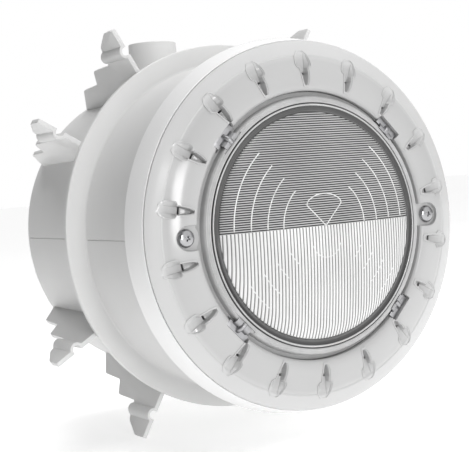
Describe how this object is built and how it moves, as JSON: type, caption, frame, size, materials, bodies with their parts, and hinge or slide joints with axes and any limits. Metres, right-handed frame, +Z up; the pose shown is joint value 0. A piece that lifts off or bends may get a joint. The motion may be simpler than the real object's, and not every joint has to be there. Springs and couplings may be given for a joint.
{
  "type": "underwater pool light",
  "caption": "Round moulded pool light in a deep wall niche with anchor fins, a slotted trim ring, a ribbed sealed-beam lens and a conduit socket on top.",
  "frame": {"origin": "centre of the niche's flat rear face", "axes": "+Z up to the conduit socket, +Y out of the rear face, so the light shines along -Y"},
  "size_m": [0.3084, 0.2715, 0.3106],
  "materials": {
    "niche_plastic": "fine moulded grey",
    "trim_plastic": "glossy white",
    "lens_glass": "clear, moulded ribs",
    "reflector_mirror": "aluminised glass",
    "gasket_silicone": "satin pale silicone",
    "seal_rubber": "matt black",
    "gland_plastic": "fine black nylon",
    "stainless_steel": "polished",
    "brass": "turned",
    "ceramic_white": "matt ceramic"
  },
  "bodies": {
    "niche": {"niche_shell": "niche_plastic", "anchor_fin_1": "niche_plastic", "anchor_fin_2": "niche_plastic", "anchor_fin_3": "niche_plastic", "anchor_fin_4": "niche_plastic", "anchor_fin_5": "niche_plastic", "anchor_fin_6": "niche_plastic", "anchor_fin_7": "niche_plastic", "anchor_fin_8": "niche_plastic", "conduit_socket": "niche_plastic", "niche_gland_body": "gland_plastic", "niche_gland_seal": "seal_rubber", "niche_gland_nut": "gland_plastic", "niche_gland_locknut": "gland_plastic", "screw_insert_left": "brass", "screw_insert_right": "brass"},
    "light_unit": {"trim_ring": "trim_plastic", "lamp_lens": "lens_glass", "lamp_reflector": "reflector_mirror", "filament": "stainless_steel", "filament_mount": "ceramic_white", "lamp_gasket": "gasket_silicone", "lamp_housing": "niche_plastic", "lamp_terminal_left": "brass", "lamp_terminal_right": "brass", "terminal_screw_left": "brass", "terminal_screw_right": "brass", "housing_gland_body": "gland_plastic", "housing_gland_seal": "seal_rubber", "housing_gland_nut": "gland_plastic", "housing_gland_locknut": "gland_plastic", "retaining_clip_1": "stainless_steel", "retaining_clip_2": "stainless_steel", "retaining_clip_3": "stainless_steel", "retaining_clip_4": "stainless_steel"},
    "trim_screw_left": {"trim_screw_left": "stainless_steel", "screw_retainer_left": "seal_rubber"},
    "trim_screw_right": {"trim_screw_right": "stainless_steel", "screw_retainer_right": "seal_rubber"}
  },
  "joints": [
    {"name": "light_unit_slide", "type": "slide", "parent": "niche", "child": "light_unit", "axis": [0, -1, 0], "range_m": [0, 0.14]},
    {"name": "trim_screw_left_turn", "type": "hinge", "parent": "light_unit", "child": "trim_screw_left", "pos_m": [-0.1025, -0.24, 0], "axis": [0, -1, 0], "continuous": true},
    {"name": "trim_screw_right_turn", "type": "hinge", "parent": "light_unit", "child": "trim_screw_right", "pos_m": [0.1025, -0.24, 0], "axis": [0, -1, 0], "continuous": true}
  ]
}
